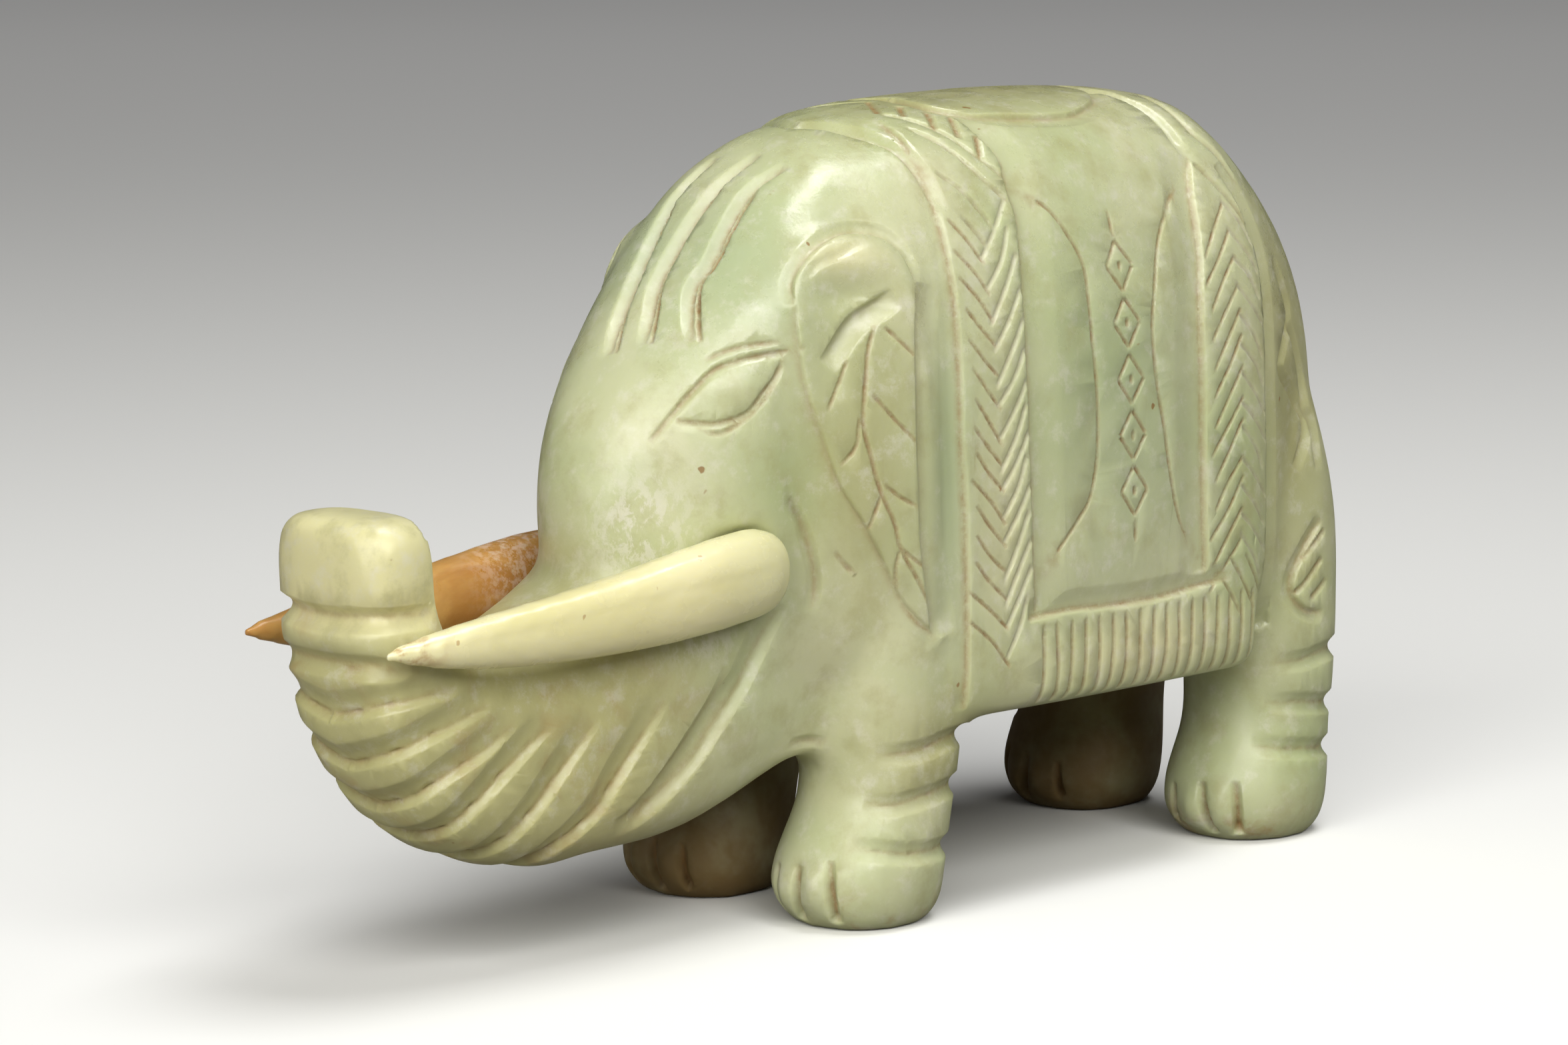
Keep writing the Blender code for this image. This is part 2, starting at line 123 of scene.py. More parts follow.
class Carver:
    marks = ("dirt", "coolAndShade", "worn", "warmAndShade", "pale", "matt")

    def __init__(self, piece):
        self.piece = piece
        self.points = readVectors(piece.data.vertices, "co") / mm
        self.normals = readVectors(piece.data.vertex_normals, "vector")
        self.form = np.zeros(len(self.points))
        self.line = np.zeros(len(self.points))
        self.mark = {name: np.zeros(len(self.points)) for name in self.marks}

    def near(self, low, high, columns):
        picked = np.ones(len(self.points), bool)
        for column, least, most in zip(columns, low, high):
            picked &= (self.points[:, column] > least) & (self.points[:, column] < most)
        return np.nonzero(picked)[0]

    # How far each vertex near the path lies to its left (-) or right (+), and how far along it
    def measure(self, path, reach, side):
        flat = path.shape[1] == 2
        columns = (0, 2) if flat else (0, 1, 2)
        line = path if flat else path * (1, side, 1)
        picked = self.near(line.min(0) - reach, line.max(0) + reach, columns)
        if flat:
            picked = picked[self.normals[picked, 1] * side > carving["leastFacing"]]
        here = self.points[picked][:, columns]
        squares = (here**2).sum(1)[:, None] - 2 * here @ line.T + (line**2).sum(1)[None]
        closest = squares.argmin(1)
        lengths = np.linalg.norm(np.diff(line, axis=0), axis=1)
        travelled = np.concatenate([[0], np.cumsum(lengths)])
        best = np.full(len(picked), np.inf)
        signed = np.zeros(len(picked))
        along = np.zeros(len(picked))
        normals = self.normals[picked]
        for first in (np.maximum(closest - 1, 0), np.minimum(closest, len(line) - 2)):
            start = line[first]
            step = line[first + 1] - start
            share = np.clip(((here - start) * step).sum(1) / (step**2).sum(1), 0, 1)
            away = here - start - share[:, None] * step
            if flat:
                turn = step[:, 1] * away[:, 0] - step[:, 0] * away[:, 1]
            else:
                lift = (away * normals).sum(1)
                away = away - lift[:, None] * normals
                away[np.abs(lift) > carving["skinDepth"]] = carving["outOfReach"]
                turn = (np.cross(step, normals) * away).sum(1) * side
            distance = np.linalg.norm(away, axis=1)
            closer = distance < best
            best = np.where(closer, distance, best)
            signed = np.where(closer, distance * np.sign(turn), signed)
            along = np.where(closer, travelled[first] + share * lengths[first], along)
        return picked, signed, along, travelled[-1]

    def paint(self, name, picked, values):
        self.mark[name][picked] = np.maximum(self.mark[name][picked], values)

    # A groove, or a ridge if depth is negative. A pair of widths is for the left and right of the path.
    def cut(self, points, width, depth, dirt=0.5, fade=(1.5, 1.5), both=True, crisp=1.0, soft=False,
            matt=0.0):
        left, right = width if isinstance(width, tuple) else (width, width)
        path = smoothPath(points)
        wobble = rng.uniform(0, 6.3, 2)
        for side in (1, -1) if both else (1,):
            picked, signed, along, length = self.measure(path, max(left, right), side)
            across = np.abs(signed) / np.where(signed > 0, right, left)
            shape = np.clip(1 - across**2, 0, 1) ** crisp
            for run, distance in ((fade[0], along), (fade[1], length - along)):
                shape *= np.clip(distance / max(run, carving["leastFade"]), 0, 1) ** carving["fadePower"]
            sway = min(1.0, carving["wobbleWidth"] / max(left, right))
            uneven = 1 + sway * sum(size * np.sin(along * pace + start)
                                    for (size, pace), start in zip(carving["wobbles"], wobble))
            change = -depth * shape * uneven
            if soft:
                self.form[picked] += change
            else:
                self.line[picked] = np.where(depth > 0, np.minimum(self.line[picked], change),
                                             np.maximum(self.line[picked], change))
            grime = dirt * shape ** 0.5 * np.exp(-(signed / carving["grimeWidth"]) ** 2) * uneven
            self.paint("dirt", picked, grime)
            self.paint("matt", picked, matt * shape ** 0.5)

    # A soft swelling, a hollow if amount is negative, or a coloured patch if mark is given
    def swell(self, centre, radii, amount, both=True, mark=None):
        for side in (1, -1) if both else (1,):
            middle = np.array(centre, float) * (1, side, 1)
            reach = np.array(radii, float) * carving["swellReach"]
            picked = self.near(middle - reach, middle + reach, (0, 1, 2))
            away = (((self.points[picked] - middle) / radii) ** 2).sum(1)
            shape = np.exp(-away * carving["swellFalloff"])
            if mark:
                self.paint(mark, picked, amount * shape)
            else:
                self.form[picked] += amount * shape

    def finish(self, triangles):
        mesh = self.piece.data
        moved = (self.points + self.normals * (self.form + self.line)[:, None]) * mm
        low, high = (np.array(corner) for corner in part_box(self.piece["cadNode"]))
        spare = (high - low) * carving["spareShare"]
        moved = np.clip(moved, low - spare, high + spare)
        moved[:, 2] = np.maximum(moved[:, 2], low[2])
        mesh.vertices.foreach_set("co", moved.astype(np.float32).ravel())
        for name, values in self.mark.items():
            layer = mesh.attributes.new(name, "FLOAT", "POINT")
            layer.data.foreach_set("value", np.clip(values, 0, 1).astype(np.float32))
        mesh.update()
        if triangles:
            sides = sum(len(face.vertices) - 2 for face in mesh.polygons)
            thin = self.piece.modifiers.new("fewer", "DECIMATE")
            thin.ratio = min(1.0, triangles / sides)
            bakeModifiers(self.piece)
        self.piece.data.shade_smooth()


head = {
    # three grooves run down the brow, the middle one close to the ridge of the head
    "brows": [
        [(-6.5, 3, 52.8), (-10.5, 3.6, 49.5), (-14.8, 2.6, 45.5), (-17.6, 1.7, 42.4), (-19.5, 0.5, 40.3)],
        [(-6.3, -0.8, 53.3), (-9.5, 0.2, 51), (-12.3, 0.4, 48.3), (-15.4, 0.1, 45), (-17.3, -1.0, 43),
         (-18.8, -2, 41.2)],
        [(-6.5, -3.8, 52.5), (-9.2, -2.8, 51), (-11.6, -2.9, 48.7), (-13.8, -3.3, 46.5), (-15.2, -3.1, 45),
         (-16.5, -4.2, 43), (-17.3, -5.2, 41.5)],
    ],
    "browDepth": 0.7,
    "eyeTop": [(-21.3, -5, 35), (-19.8, -5.8, 37), (-18.3, -6.3, 38.5), (-17, -7, 39.8),
               (-15.5, -7.8, 40.3), (-13.5, -8.5, 40.6), (-12.3, -9.5, 40.8), (-11.3, -10, 41)],
    "upperLid": [(-17.3, -6.3, 40.3), (-15.8, -7.3, 41), (-14, -8.3, 41.3), (-12.5, -9, 41.3)],
    "eyeBottom": [(-12.5, -9, 40.3), (-13.3, -9, 39), (-14.3, -8.8, 38), (-15.5, -8.5, 36.8),
                  (-17.3, -8, 36.3), (-18.5, -7.3, 36.3), (-19.8, -6, 36.5)],
    "lowerLid": [(-13, -9, 39), (-14.3, -9, 37.5), (-15.8, -8.5, 36.3), (-17.5, -7.8, 35.5),
                 (-18.8, -7, 36)],
    "tuskSCurve": [(-12.3, -9.3, 30.8), (-11, -9.3, 29), (-10.3, -9.5, 27), (-10, -9.8, 25),
                   (-10, -9.5, 22.8)],
    "shortNick": [(-8.8, -10.3, 26.8), (-8, -10.5, 25.8), (-7.3, -11, 25)],
    "jawInner": [(-16.8, -8, 19.5), (-18.3, -8, 17.3), (-20.5, -7.8, 14.8), (-22.5, -7.5, 12.5),
                 (-24.3, -6.8, 10.5), (-26, -6.3, 9.8)],
    "jawOuter": [(-12.5, -8.6, 23.5), (-13.5, -8.5, 21.8), (-15.3, -8, 18.5), (-17.8, -8, 15.8),
                 (-19.8, -7.8, 13.5), (-22.8, -7, 10.8), (-24.5, -6.3, 9.5)],
    # swellings and patches: centre, radii, amount
    "eyeBulge": ((-16, -8, 38.4), (2.6, 2.5, 1.5), 0.2),
    "wornCheek": ((-23.5, -6.0, 29.5), (4.5, 4, 4), 1.0),
    "wornJaw": ((-19.0, -7.0, 21.5), (4.5, 3, 1.5), 0.7),
}


def carveHead(stone):
    for path in head["brows"]:
        stone.cut(path, width=(0.45, 0.8), depth=head["browDepth"], dirt=0.7, fade=(4, 4), both=False,
                  crisp=1.5, matt=1.0)
        edge = [(x + 0.25, y - 0.45, z) for x, y, z in path[1:]]
        stone.cut(edge, width=0.25, depth=head["browDepth"] * 0.7, dirt=1.0, fade=(3, 2), both=False)
    stone.swell(*head["eyeBulge"])
    stone.cut(head["eyeTop"], width=(0.2, 0.45), depth=0.24, dirt=0.6, fade=(2.5, 1.5))
    stone.cut(head["eyeBottom"], width=(0.4, 0.2), depth=0.22, dirt=0.55, fade=(1, 1))
    stone.cut(head["upperLid"], width=0.25, depth=0.1, dirt=0.6)
    stone.cut(head["lowerLid"], width=0.25, depth=0.1, dirt=0.55)
    stone.cut(head["tuskSCurve"], width=(0.5, 0.8), depth=0.4, dirt=0.45, fade=(2, 1.5), crisp=1.3)
    stone.cut(head["shortNick"], width=0.25, depth=0.15, fade=(0.8, 0.8))
    stone.cut(head["jawOuter"], width=(0.8, 1.6), depth=0.55, dirt=0.35, fade=(3, 2), crisp=1.2,
              soft=True)
    stone.cut(head["jawInner"], width=(1.4, 0.6), depth=0.4, dirt=0.3, fade=(3, 2), crisp=1.2, soft=True)
    stone.swell(*head["wornCheek"], mark="worn")
    stone.swell(*head["wornJaw"], mark="worn")


ear = {
    "rollOuter": [(-11.8, -9.3, 43.8), (-11.5, -8.8, 45.3), (-10.5, -8.8, 46.5), (-9, -8.8, 47.5),
                  (-6.8, -8.8, 48.3), (-5, -9.3, 48.3), (-3.5, -10, 47.8), (-2.5, -10.8, 46.5),
                  (-2.3, -12, 45)],
    "rollInner": [(-10.8, -9.3, 45.3), (-9.5, -9.3, 46.3), (-7.5, -9.5, 46.8), (-5.3, -10, 47.6)],
    "crescent": [(-4.5, -11.8, 44.3), (-6, -11.3, 43.5), (-7.8, -10.8, 42.5), (-9, -10.5, 41),
                 (-10, -10.3, 39.8)],
    "backEdge": [(-2.0, -11.8, 44.8), (-2.8, -12.5, 41), (-3.1, -13, 35.5), (-3, -13.3, 30.5),
                 (-2.8, -13.3, 27), (-2.2, -13.3, 23.5), (-1.3, -13, 20)],
    "frontEdge": [(-11.8, -9.3, 43.8), (-11.8, -9.8, 40.3), (-11.3, -10.3, 37.5), (-10.3, -10.5, 34.8),
                  (-9.3, -11, 31.5), (-7.5, -11.5, 28.8), (-5.8, -11.8, 26), (-4, -12, 23),
                  (-1.3, -13, 20)],
    "vein": [(-6, -11.5, 42.5), (-6.8, -11.5, 40.5), (-7.3, -11.8, 38), (-7.5, -11.8, 35.5),
             (-7, -12, 33.3), (-6.3, -12.3, 30.8), (-5.3, -12.8, 28.5), (-4.8, -12.8, 26.8), (-3, -13, 24),
             (-2.3, -13.3, 22.5)],
    "sideVeins": [
        [(-5.5, -11.8, 42), (-4.3, -12.5, 40.8), (-3.3, -12.8, 39.8)],
        [(-6.8, -12, 37.5), (-5.3, -12.5, 35.8), (-3.5, -13, 34)],
        [(-6, -12.3, 31.3), (-4.8, -12.8, 30.3), (-3.3, -13.3, 29.5)],
        [(-4.8, -12.8, 26.8), (-3.5, -13, 25.8), (-2.3, -13.3, 25)],
        [(-8.3, -11, 40), (-9, -10.8, 38.3), (-9.8, -10.5, 36.5)],
        [(-7.8, -11.8, 36), (-8, -11.5, 34), (-9, -11, 32.8)],
        [(-6.3, -12.3, 30.5), (-6.8, -12.3, 29.3), (-7, -11.5, 28)],
        [(-4.8, -12.8, 26.8), (-5, -12.5, 25.5), (-4.5, -12, 23.8)],
        [(-4, -12, 22.8), (-3, -12.5, 21.5), (-1.5, -12.8, 20.3)],
    ],
    "veinDepth": 0.16,
    # swellings and patches: centre, radii, amount
    "rollBulge": ((-7.5, -10, 46.5), (3.6, 3, 1.6), 0.35),
    "rollHollow": ((-7.2, -11, 44.2), (3.2, 3, 1.4), -0.35),
    # painted shade: a darker cool green over the brow and temple, which face the lamps most
    "coolShadedTemple": ((-12.5, -4, 46), (7, 9, 8), 0.9),
    "paleRoll": ((-7.5, -9.5, 46.8), (4, 3, 1.6), 0.8),
    "warmFlap": ((-7, -11.5, 33), (5, 5, 13), 0.75),
    "coolNeck": ((0.0, -12.6, 32), (2.0, 4, 12), 0.9),
    "neckHollow": ((-0.2, -12.4, 33), (1.3, 4, 14), -0.3),
}


def carveEars(stone):
    stone.swell(*ear["rollBulge"])
    stone.swell(*ear["rollHollow"])
    stone.cut(ear["crescent"], width=(1.3, 0.4), depth=0.7, dirt=0.1, fade=(1.2, 1.6), matt=0.5)
    stone.cut(ear["rollOuter"], width=(0.9, 0.25), depth=0.35, dirt=0.35, fade=(1.0, 1.5), crisp=1.2)
    stone.cut(ear["rollInner"], width=(0.5, 0.3), depth=0.12, dirt=0.0)
    # cool green with painted shade over the brow and temple
    stone.swell(*ear["coolShadedTemple"], mark="coolAndShade")
    stone.swell(*ear["paleRoll"], mark="pale")
    stone.cut(ear["backEdge"], width=(2.2, 0.5), depth=0.5, dirt=0.15, fade=(2, 1.2), crisp=1.2)
    stone.cut(ear["frontEdge"], width=(0.3, 1.4), depth=0.24, dirt=0.3, fade=(2, 1), crisp=1.3)
    stone.swell(*ear["warmFlap"], mark="warmAndShade")
    stone.cut(ear["vein"], width=0.2, depth=ear["veinDepth"], dirt=0.7, fade=(2.5, 2))
    for path in ear["sideVeins"]:
        stone.cut(path, width=0.18, depth=ear["veinDepth"] * 0.85, dirt=0.65, fade=(0.6, 0.8))
    stone.swell(*ear["coolNeck"], mark="coolAndShade")
    stone.swell(*ear["neckHollow"])


trunk = {
    "wrinkles": [
        [(-45.3, 0, 19.2), (-45, -4, 20), (-42.3, -5.8, 20.6), (-39.5, -5.9, 20.8)],
        [(-43.8, 0, 15.8), (-43.6, -3, 16.7), (-42.2, -5.3, 17.7), (-39.8, -5.8, 18.5),
         (-36.8, -5.8, 19.5)],
        [(-41.5, 0, 12.8), (-41.4, -3.5, 13.8), (-40.3, -5.5, 15), (-37.3, -6, 16.5), (-34.8, -6.3, 18)],
        [(-38.9, 0, 10.2), (-39.0, -3, 10.9), (-38.3, -5.3, 12.2), (-36.8, -6, 13.8), (-34.3, -6.3, 15.8),
         (-31.5, -6.5, 17.8)],
        [(-35.4, 0, 8.2), (-35.3, -3.3, 8.8), (-34.5, -5.3, 10), (-33, -6.3, 11.8), (-31.3, -6.5, 13.8),
         (-29.3, -6.8, 16), (-28, -6.8, 17.5)],
        [(-31.4, 0, 7.2), (-31.2, -3.4, 7.6), (-30.3, -5.4, 8.7), (-29.3, -6, 9.5), (-27.5, -6.8, 11.3),
         (-26, -7.3, 13.5), (-24, -7.5, 16), (-22.5, -7.5, 18)],
    ],
    "wrinkleDepth": 0.52,
    "folds": [(-44.9, 17.4), (-43.0, 14.2), (-40.6, 11.3), (-37.3, 8.9), (-33.4, 7.5), (-29.2, 7.3)],
    "foldRadii": (2.2, 5, 2.2),
    "foldHeight": 0.45,
    "topGrooves": [
        [(-46.5, 0, 25.8), (-45.8, -4.3, 26), (-43.5, -5.6, 26), (-40.8, -5.5, 26)],
        [(-46.0, 0, 22.8), (-46, -2, 22.8), (-45.5, -4.3, 22.8), (-43.6, -5.6, 22.4)],
    ],
    "topDepths": (0.75, 0.5),
    "tipStep": [(-41.2, -4.9, 30.8), (-41.2, -3.8, 32), (-41.2, 0, 32.2), (-41.2, 3.8, 32),
                (-41.2, 4.9, 30.8)],
    "scratches": [
        [(-33.6, -6.5, 17.3), (-35.3, -6.3, 15.6)],
        [(-36.6, -6.1, 13.4), (-38.0, -5.6, 12.3)],
    ],
    # swellings and patches: centre, radii, amount
    "tipRing": ((-46.2, 0, 24.3), (1.5, 6, 1.0), 0.35),
    "dirtSpot": ((-45.8, -2.5, 22.6), (0.45, 0.8, 0.35), 1.0),
}


def carveTrunk(stone):
    for x, z in trunk["folds"]:
        stone.swell((x, 0, z), trunk["foldRadii"], trunk["foldHeight"], both=False)
    for path in trunk["wrinkles"]:
        back = [(x, -y, z) for x, y, z in reversed(path[1:])]
        stone.cut(path, width=(1.7, 0.55), depth=trunk["wrinkleDepth"], dirt=0.0, fade=(0, 5), crisp=1.25)
        stone.cut(back + path, width=0.3, depth=trunk["wrinkleDepth"] * 1.1, dirt=0.45, fade=(6, 6),
                  both=False)
    for path, depth in zip(trunk["topGrooves"], trunk["topDepths"]):
        back = [(x, -y, z) for x, y, z in reversed(path[1:])]
        stone.cut(back + path, width=(0.8, 1.1), depth=depth, dirt=0.35, fade=(2.5, 2.5), both=False,
                  crisp=1.3)
    stone.swell(*trunk["tipRing"], both=False)
    stone.cut(trunk["tipStep"], width=(0.2, 4.2), depth=0.55, dirt=0.0, fade=(0, 0), both=False,
              crisp=0.3)
    stone.swell(*trunk["dirtSpot"], both=False, mark="dirt")
    for path in trunk["scratches"]:
        stone.cut(path, width=0.3, depth=0.1, dirt=0.0, fade=(0.6, 0.6), crisp=0.6)


cloth = {
    "frontEdge": [(1.6, -4.7, 55.3), (1.3, -8.5, 53), (1, -10.5, 49.5), (1, -11.5, 46.8), (1, -12.3, 44),
                  (1, -12.8, 40), (1, -13, 34), (1.3, -13.3, 28), (1.5, -13.3, 22), (1.5, -13.3, 17.5),
                  (1.5, -13, 14.8)],
    "innerFront": [(8, -5.5, 55.4), (8.3, -7.8, 54.3), (8.8, -9.5, 52.5), (8.3, -10.8, 50.5),
                   (8.3, -11.8, 48.5), (7.8, -12.5, 45.5), (7.5, -13.3, 41), (7.5, -13.8, 35),
                   (7.8, -13.8, 29), (8, -13.8, 24.3), (8.3, -13.8, 20.5)],
    "innerRear": [(28.3, -10.4, 51.5), (27, -12, 48.8), (26.5, -13.3, 45), (25.8, -14, 39.5),
                  (25.8, -14.3, 31.8), (26, -14.3, 25.5), (26.3, -14.3, 21.5)],
    "rearEdge": [(30.8, -10.5, 50.5), (33, -12.3, 46), (33.6, -12.8, 42.5), (33.5, -13.8, 35.8),
                 (33.8, -13.8, 29.3), (34, -13.5, 22.8), (34.2, -13.3, 15.6)],
    "bottomLine": [(7.3, 20.5), (11.8, 20.7), (16.3, 20.5), (21.3, 20.5), (25.3, 20.8), (29, 21)],
    "leftArc": [(8.8, 50.5), (11.3, 49), (12.8, 47), (13.8, 44.8), (13.9, 41.8), (14, 39), (14.3, 34.5),
                (14.2, 31.3), (13.5, 28.5), (12.3, 27), (10.3, 25), (9, 23.3)],
    "rightArc": [(26, 49.8), (23.5, 47.8), (21.8, 45.5), (21, 43), (20.3, 40), (20.5, 36.3), (21.3, 32.8),
                 (22, 29.3), (23, 26), (24.5, 24), (25.8, 22.5)],
    "arcNotch": [(26, 49.8), (24.6, 48.9), (23.2, 47.2)],
    "chainTop": (17.4, 46.5),
    "chainBottom": (18.2, 26.5),
    "chainTails": (0.5, 0.45),  # above and below, in lozenges
    "lozenges": 5,
    "lozengeSpan": (0.06, 0.94),
    "lozengeWidth": 1.35,
    "lozengeNick": (0, 0.35),
    "frontBand": {"top": 45.5, "bottom": 16.2, "pitch": 1.95, "across": (1.9, 4.1, 7.5), "lean": 0.05,
                  "rise": (3.3, 4.6)},
    "rearBand": {"top": 48.5, "bottom": 22.5, "pitch": 2.0, "across": (26.7, 30.2, 33.2), "lean": 0.0,
                 "rise": (-4.2, -3.8)},
    "fringe": {"cuts": 18, "span": (8.9, 33.1), "top": 20.0, "middle": 17.5, "bottom": 14.2,
               "risesFrom": 30, "slope": 0.25},
    "cornerCuts": [
        [(26.8, 22.3), (28.4, 20.6), (30.2, 18.2)],
        [(28.6, 22.9), (30.2, 20.9), (32, 18.3)],
        [(30.6, 22.6), (31.9, 20.9), (33.2, 19)],
    ],
    "lineDepth": 0.17,
    "seatPatch": [(7.8, 0, 56.3), (7.3, -3.8, 55.8), (9.5, -6, 55.3), (13, -6.8, 55), (17.3, -7.3, 54.8),
                  (20.3, -7, 55), (23.8, -5.3, 55.5), (25.3, -2.5, 56), (25.5, 0, 56)],
    "rearScoop": [(25.8, -1.5, 56), (26.8, -5, 55.5), (27.5, -6.8, 54.8), (27.8, -8.5, 53.5),
                  (28.0, -10, 52), (28.5, -10.8, 51)],
    "rearLine": [(28.5, -10.8, 51), (30.5, -11.8, 49), (32.5, -12.5, 46.5), (33.6, -12.6, 44.5)],
    "outerLine": [(30.3, -3.3, 55.0), (30.3, -6.3, 54.8), (30.5, -9, 53), (31.8, -10, 51.5),
                  (33.3, -11, 49)],
    "backCuts": [
        [(5.5, 0, 56), (2.8, -3.5, 55.5)],
        [(5.5, -3, 56), (4, -4.8, 55.3)],
        [(6.5, -4.5, 55.5), (5, -6.8, 54.5)],
        [(7.5, -6, 55.3), (6.3, -8, 54)],
        [(8, -8, 54), (7, -9.3, 52.5)],
    ],
    "backLines": [
        [(2.8, -6, 54.8), (4.5, -8.3, 53.5), (6.3, -10.3, 51.3), (8, -11.3, 49.5)],
        [(2.3, -9.3, 52), (4, -10.5, 50.5), (6, -11.8, 47.5)],
        [(3, -11, 49), (4, -11.5, 47.8), (5, -12.3, 46.3)],
        [(2.8, -3.5, 55.5), (4, -5.5, 55.3), (5.3, -7.3, 54.3), (6.5, -8.8, 53), (8.5, -10.5, 51)],
    ],
    "neckSeam": [(-2.5, 0, 54.8), (-1.5, -2.8, 54.8), (-0.5, -5, 54.3), (0.5, -6.8, 53.5),
                 (0.8, -8.3, 52.5), (1, -9.5, 51), (1.1, -10.8, 49)],
    # swellings and patches: centre, radii, amount
    "coolMiddle": ((17, -13.5, 34), (9, 5, 14), 0.8),
    "dirtSpot": ((1.9, -13.4, 33.2), (0.45, 1, 0.6), 1.0),
    "dirtShoulder": ((1.5, -9, 51), (2.0, 4, 3), 0.16),
    "paleHem": ((20, -14, 17), (12, 4, 2.8), 0.9),
    "paleBand": ((4.5, -13, 28), (2.5, 4, 12), 0.5),
    "warmBack": ((17, 0, 56), (22, 9, 3), 0.8),
    "warmRump": ((38, -11, 34), (6, 8, 18), 0.9),
    # painted shade: a darker honey patch over the top of both front legs, under the head and body
    "armpitShade": ((0, -10, 12), (7, 8, 5), 1.0),
}


# A chevron every pitch down a band, from its left and right ends to its middle, which drifts to the
# rear by lean going down. The ends lie higher than the middle by rise, or lower if it is negative.
def chevrons(stone, top, bottom, pitch, across, lean, rise):
    z = top
    while z > bottom:
        left, middle, right = across
        middle += (top - z) * lean
        nudge = rng.uniform(-0.4, 0.4, 4)
        front = [(left + nudge[0], z + rise[0]), ((left + middle) / 2 + 0.1, z + rise[0] * 0.5),
                 (middle + 0.1, z + nudge[1])]
        rear = [(middle - 0.3, z + nudge[2]), ((right + middle) / 2, z + rise[1] * 0.5),
                (right + nudge[3], z + rise[1])]
        stone.cut(front, width=0.18, depth=cloth["lineDepth"] * 0.8, dirt=0.75, fade=(0.9, 0.5))
        stone.cut(rear, width=0.23, depth=cloth["lineDepth"], dirt=0.2, fade=(0.7, 0.7), matt=1.0)
        z -= pitch * rng.uniform(0.9, 1.1)


def carveLozengeChain(stone):
    top, bottom = np.array(cloth["chainTop"]), np.array(cloth["chainBottom"])
    step = (bottom - top) / cloth["lozenges"]
    for index in range(cloth["lozenges"]):
        upper, lower = (top + step * (index + share) for share in cloth["lozengeSpan"])
        middle = (upper + lower) / 2
        for side in (-1, 1):
            corner = middle + (cloth["lozengeWidth"] * side, 0)
            for end in (upper, lower):
                stone.cut([end, (end + corner) / 2, corner], width=0.19, depth=0.14, dirt=0.75,
                          fade=(0.2, 0.2))
        nick = cloth["lozengeNick"]
        stone.cut([middle + nick, middle - nick], width=0.25, depth=0.13, dirt=0.75,
                  fade=(0.2, 0.2))
    above, below = cloth["chainTails"]
    for start, end in ((top - step * above, top), (bottom, bottom + step * below)):
        stone.cut([start, (start + end) / 2, end], width=0.2, depth=0.14, dirt=0.7, fade=(1.2, 0.6))


def carveCloth(stone):
    stone.cut(cloth["frontEdge"], width=(0.3, 1.2), depth=0.2, dirt=0.6, fade=(1, 0.5), crisp=1.3)
    stone.cut(cloth["innerFront"], width=(3.2, 0.22), depth=0.42, dirt=0.55, fade=(1.5, 0.5), crisp=1.6)
    stone.cut(cloth["innerRear"], width=(0.22, 3.4), depth=0.42, dirt=0.55, fade=(1.5, 0.5), crisp=1.6)
    stone.cut(cloth["bottomLine"], width=(1.6, 0.25), depth=0.38, dirt=0.6, fade=(0.5, 2), crisp=1.5)
    stone.cut(cloth["rearEdge"], width=(1.8, 0.22), depth=0.5, fade=(2, 0.5), crisp=1.4)
    for arc in ("leftArc", "rightArc"):
        stone.cut(cloth[arc], width=0.2, depth=0.15, dirt=0.65, fade=(2, 1.5))
    stone.cut(cloth["arcNotch"], width=0.5, depth=0.25, dirt=0.1, fade=(0.5, 1.5))
    chevrons(stone, **cloth["frontBand"])
    chevrons(stone, **cloth["rearBand"])
    carveLozengeChain(stone)
    for path in cloth["cornerCuts"]:
        stone.cut(path, width=0.22, depth=0.17, dirt=0.45, fade=(0.8, 0.8))
    fringe = cloth["fringe"]
    for x in np.linspace(*fringe["span"], fringe["cuts"]):
        bottom = fringe["bottom"] + max(0.0, x - fringe["risesFrom"]) * fringe["slope"]
        strand = [(x + rng.uniform(-0.15, 0.15), fringe["top"]), (x + 0.1, fringe["middle"]),
                  (x + rng.uniform(-0.1, 0.25), bottom)]
        stone.cut(strand, width=0.22, depth=0.18, dirt=0.6, fade=(0.8, 0.3))
    stone.cut(cloth["seatPatch"], width=(0.3, 1.3), depth=0.35, dirt=0.4, fade=(0.1, 0.1), crisp=1.3)
    stone.cut(cloth["rearScoop"], width=0.7, depth=0.45, dirt=0.0, fade=(1.5, 2))
    stone.cut(cloth["rearLine"], width=0.3, depth=0.2, dirt=0.3, fade=(0.2, 1))
    stone.cut(cloth["outerLine"], width=0.4, depth=0.2, dirt=0.3, fade=(1.5, 1))
    for path in cloth["backCuts"]:
        stone.cut(path, width=0.38, depth=0.18, dirt=1.0, fade=(0.4, 0.4))
    for path in cloth["backLines"]:
        stone.cut(path, width=0.26, depth=0.2, dirt=0.3, fade=(1, 1))
    stone.cut(cloth["neckSeam"], width=(1.2, 0.4), depth=0.45, dirt=0.4, fade=(0.5, 2), crisp=1.4)
    stone.swell(*cloth["coolMiddle"], mark="coolAndShade")
    stone.swell(*cloth["dirtSpot"], both=False, mark="dirt")
    stone.swell(*cloth["dirtShoulder"], mark="dirt")
    stone.swell(*cloth["paleHem"], mark="pale")
    stone.swell(*cloth["paleBand"], mark="pale")
    stone.swell(*cloth["warmBack"], both=False, mark="warmAndShade")
    stone.swell(*cloth["warmRump"], mark="warmAndShade")
    # painted shade on the top of the front legs
    stone.swell(*cloth["armpitShade"], mark="warmAndShade")


